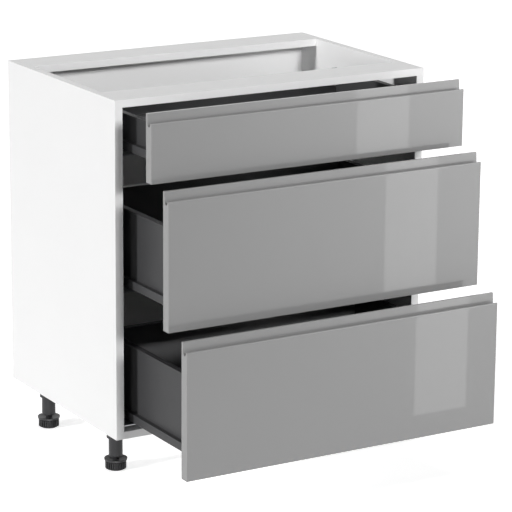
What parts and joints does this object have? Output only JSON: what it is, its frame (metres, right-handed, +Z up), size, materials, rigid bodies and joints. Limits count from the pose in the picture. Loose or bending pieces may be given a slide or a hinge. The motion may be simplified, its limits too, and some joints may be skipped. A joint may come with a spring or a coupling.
{
  "type": "kitchen base cabinet with drawers",
  "caption": "Kitchen base cabinet on adjustable legs with stacked full-extension drawers, integrated grip fronts and an open top between rails.",
  "frame": {"origin": "on the floor under the middle of the cabinet's box as it stands with its drawers partly open", "axes": "+X to the right seen from the front, +Y to the back, +Z up; the drawers pull out along -Y"},
  "size_m": [0.75, 0.797, 0.82],
  "materials": {
    "white_board": "satin",
    "gloss_front": "gloss",
    "drawer_metal": "satin",
    "drawer_board": "satin",
    "runner_steel": "satin",
    "leg_plastic": "matte",
    "fastener_steel": "satin",
    "dowel_wood": "matte"
  },
  "bodies": {
    "cabinet": {"side_left": "white_board", "side_right": "white_board", "bottom_board": "white_board", "front_rail": "white_board", "back_rail": "white_board", "back_panel": "white_board", "dowels": "dowel_wood", "cam_housings": "fastener_steel", "cam_bolts": "fastener_steel", "leg_screws": "fastener_steel", "runner_screws": "fastener_steel", "leg_socket_fl": "leg_plastic", "leg_socket_fr": "leg_plastic", "leg_socket_rl": "leg_plastic", "leg_socket_rr": "leg_plastic", "leg_tube_fl": "leg_plastic", "leg_tube_fr": "leg_plastic", "leg_tube_rl": "leg_plastic", "leg_tube_rr": "leg_plastic", "runner_1_rail_left": "runner_steel", "runner_1_rail_right": "runner_steel", "runner_2_rail_left": "runner_steel", "runner_2_rail_right": "runner_steel", "runner_3_rail_left": "runner_steel", "runner_3_rail_right": "runner_steel"},
    "drawer_1": {"drawer_1_front": "gloss_front", "drawer_1_side_left": "drawer_metal", "drawer_1_side_right": "drawer_metal", "drawer_1_bottom": "drawer_board", "drawer_1_back": "drawer_board", "drawer_1_brackets": "fastener_steel", "drawer_1_screws": "fastener_steel"},
    "runner_slides_1": {"runner_1_slide_left": "runner_steel", "runner_1_slide_right": "runner_steel"},
    "drawer_2": {"drawer_2_front": "gloss_front", "drawer_2_side_left": "drawer_metal", "drawer_2_side_right": "drawer_metal", "drawer_2_bottom": "drawer_board", "drawer_2_back": "drawer_board", "drawer_2_brackets": "fastener_steel", "drawer_2_screws": "fastener_steel"},
    "runner_slides_2": {"runner_2_slide_left": "runner_steel", "runner_2_slide_right": "runner_steel"},
    "drawer_3": {"drawer_3_front": "gloss_front", "drawer_3_side_left": "drawer_metal", "drawer_3_side_right": "drawer_metal", "drawer_3_bottom": "drawer_board", "drawer_3_back": "drawer_board", "drawer_3_brackets": "fastener_steel", "drawer_3_screws": "fastener_steel"},
    "runner_slides_3": {"runner_3_slide_left": "runner_steel", "runner_3_slide_right": "runner_steel"},
    "foot_fl": {"leg_foot_fl": "leg_plastic"},
    "foot_fr": {"leg_foot_fr": "leg_plastic"},
    "foot_rl": {"leg_foot_rl": "leg_plastic"},
    "foot_rr": {"leg_foot_rr": "leg_plastic"}
  },
  "joints": [
    {"name": "drawer_1_pull", "type": "slide", "parent": "cabinet", "child": "drawer_1", "axis": [0, -1, 0], "range_m": [-0.128, 0.26]},
    {"name": "runner_1_telescope", "type": "slide", "parent": "cabinet", "child": "runner_slides_1", "axis": [0, -1, 0], "range_m": [-0.064, 0.13]},
    {"name": "drawer_2_pull", "type": "slide", "parent": "cabinet", "child": "drawer_2", "axis": [0, -1, 0], "range_m": [-0.198, 0.24]},
    {"name": "runner_2_telescope", "type": "slide", "parent": "cabinet", "child": "runner_slides_2", "axis": [0, -1, 0], "range_m": [-0.099, 0.12]},
    {"name": "drawer_3_pull", "type": "slide", "parent": "cabinet", "child": "drawer_3", "axis": [0, -1, 0], "range_m": [-0.273, 0.165]},
    {"name": "runner_3_telescope", "type": "slide", "parent": "cabinet", "child": "runner_slides_3", "axis": [0, -1, 0], "range_m": [-0.1365, 0.0825]},
    {"name": "foot_fl_height", "type": "slide", "parent": "cabinet", "child": "foot_fl", "axis": [0, 0, -1], "range_m": [-0.003, 0.015]},
    {"name": "foot_fr_height", "type": "slide", "parent": "cabinet", "child": "foot_fr", "axis": [0, 0, -1], "range_m": [-0.003, 0.015]},
    {"name": "foot_rl_height", "type": "slide", "parent": "cabinet", "child": "foot_rl", "axis": [0, 0, -1], "range_m": [-0.003, 0.015]},
    {"name": "foot_rr_height", "type": "slide", "parent": "cabinet", "child": "foot_rr", "axis": [0, 0, -1], "range_m": [-0.003, 0.015]}
  ],
  "couplings": [
    {"joint": "runner_1_telescope", "follows": "drawer_1_pull", "ratio": 0.5},
    {"joint": "runner_2_telescope", "follows": "drawer_2_pull", "ratio": 0.5},
    {"joint": "runner_3_telescope", "follows": "drawer_3_pull", "ratio": 0.5}
  ]
}
